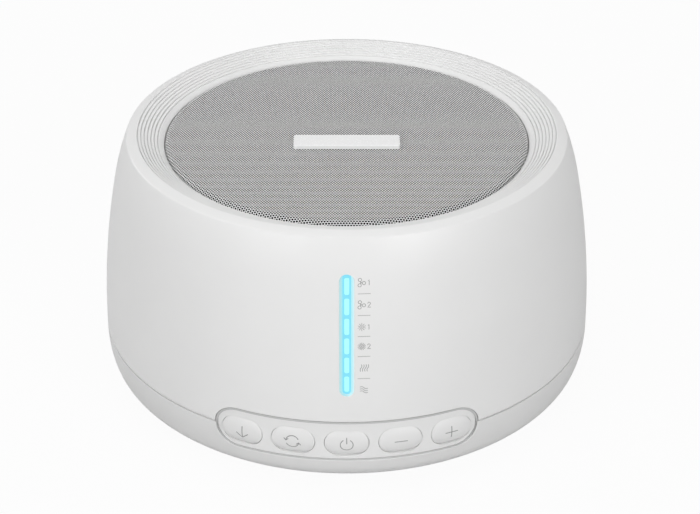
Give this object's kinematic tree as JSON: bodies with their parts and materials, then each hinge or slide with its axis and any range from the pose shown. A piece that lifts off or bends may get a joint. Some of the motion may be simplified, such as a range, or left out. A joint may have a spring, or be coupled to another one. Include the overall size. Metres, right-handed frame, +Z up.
{
  "type": "white noise sound machine",
  "caption": "Round table-top white noise machine: upward loudspeaker under a perforated grille, lit bar at the front and a row of push buttons on the seam.",
  "frame": {"origin": "middle of the resting plane, under the rubber feet", "axes": "+Z up along the axis of the round body; the light bar and the buttons face -Y; +X is the right-hand side seen from the front"},
  "size_m": [0.112, 0.1119, 0.06],
  "materials": {
    "shell_white": "fine satin moulded ABS",
    "base_white": "fine satin moulded ABS",
    "grille_white": "satin powder coat on perforated steel",
    "cloth_black": "woven acoustic cloth",
    "plate_white": "semi-gloss, bare",
    "window_cyan": "translucent diffuser, lit from behind",
    "baffle_white": "white reflective plastic",
    "board_green": "solder mask on glass fibre",
    "led_lit": "lit lens",
    "ribbon_cream": "flat flexible cable",
    "connector_cream": "nylon",
    "panel_white": "fine satin",
    "seal_grey": "matte elastomer",
    "button_white": "soft satin",
    "plunger_black": "moulded",
    "switch_black": "moulded",
    "chip_black": "epoxy",
    "capacitor_can": "printed sleeve left bare",
    "port_steel": "stamped, nickel plated",
    "port_black": "moulded",
    "frame_steel": "black coated pressed steel",
    "gasket_foam": "closed-cell foam",
    "surround_rubber": "soft butyl",
    "cone_paper": "black pressed pulp",
    "spider_cloth": "resin treated cloth",
    "coil_copper": "enamelled copper wire on a former",
    "plate_zinc": "zinc plated",
    "magnet_ferrite": "ground ferrite",
    "tab_phenolic": "phenolic paper",
    "wire_red": "PVC insulation",
    "screw_steel": "zinc plated",
    "foot_rubber": "matte"
  },
  "bodies": {
    "chassis": {"upper_housing": "shell_white", "base_shell": "base_white", "grille": "grille_white", "grille_cloth": "cloth_black", "nameplate": "plate_white", "light_window": "window_cyan", "light_baffle": "baffle_white", "led_board": "board_green", "leds": "led_lit", "led_ribbon": "ribbon_cream", "light_connector": "connector_cream", "button_panel": "panel_white", "panel_seal": "seal_grey", "tact_switches": "switch_black", "main_board": "board_green", "board_chips": "chip_black", "board_capacitors": "capacitor_can", "speaker_connector": "connector_cream", "usb_port": "port_steel", "usb_tongue": "port_black", "audio_jack": "port_black", "speaker_frame": "frame_steel", "speaker_gasket": "gasket_foam", "surround": "surround_rubber", "spider": "spider_cloth", "top_plate": "plate_zinc", "magnet": "magnet_ferrite", "pole_yoke": "plate_zinc", "terminal_tab": "tab_phenolic", "speaker_wires": "wire_red", "speaker_screws": "screw_steel", "base_screws": "screw_steel", "board_screws": "screw_steel", "feet": "foot_rubber"},
    "timer": {"timer_button": "button_white", "timer_plunger": "plunger_black"},
    "loop": {"loop_button": "button_white", "loop_plunger": "plunger_black"},
    "power": {"power_button": "button_white", "power_plunger": "plunger_black"},
    "volume_down": {"volume_down_button": "button_white", "volume_down_plunger": "plunger_black"},
    "volume_up": {"volume_up_button": "button_white", "volume_up_plunger": "plunger_black"},
    "diaphragm": {"speaker_cone": "cone_paper", "dust_cap": "cone_paper", "voice_coil": "coil_copper"}
  },
  "joints": [
    {"name": "timer_press", "type": "slide", "parent": "chassis", "child": "timer", "axis": [0.4049, 0.9144, 0], "range_m": [0, 0.0006], "stiffness_N_per_m": 500},
    {"name": "loop_press", "type": "slide", "parent": "chassis", "child": "loop", "axis": [0.2069, 0.9784, 0], "range_m": [0, 0.0006], "stiffness_N_per_m": 500},
    {"name": "power_press", "type": "slide", "parent": "chassis", "child": "power", "axis": [0, 1, 0], "range_m": [0, 0.0006], "stiffness_N_per_m": 500},
    {"name": "volume_down_press", "type": "slide", "parent": "chassis", "child": "volume_down", "axis": [-0.2069, 0.9784, 0], "range_m": [0, 0.0006], "stiffness_N_per_m": 500},
    {"name": "volume_up_press", "type": "slide", "parent": "chassis", "child": "volume_up", "axis": [-0.4049, 0.9144, 0], "range_m": [0, 0.0006], "stiffness_N_per_m": 500},
    {"name": "diaphragm_stroke", "type": "slide", "parent": "chassis", "child": "diaphragm", "axis": [0, 0, 1], "range_m": [-0.0015, 0.0015], "stiffness_N_per_m": 1000, "deforming": ["surround", "spider"]}
  ]
}
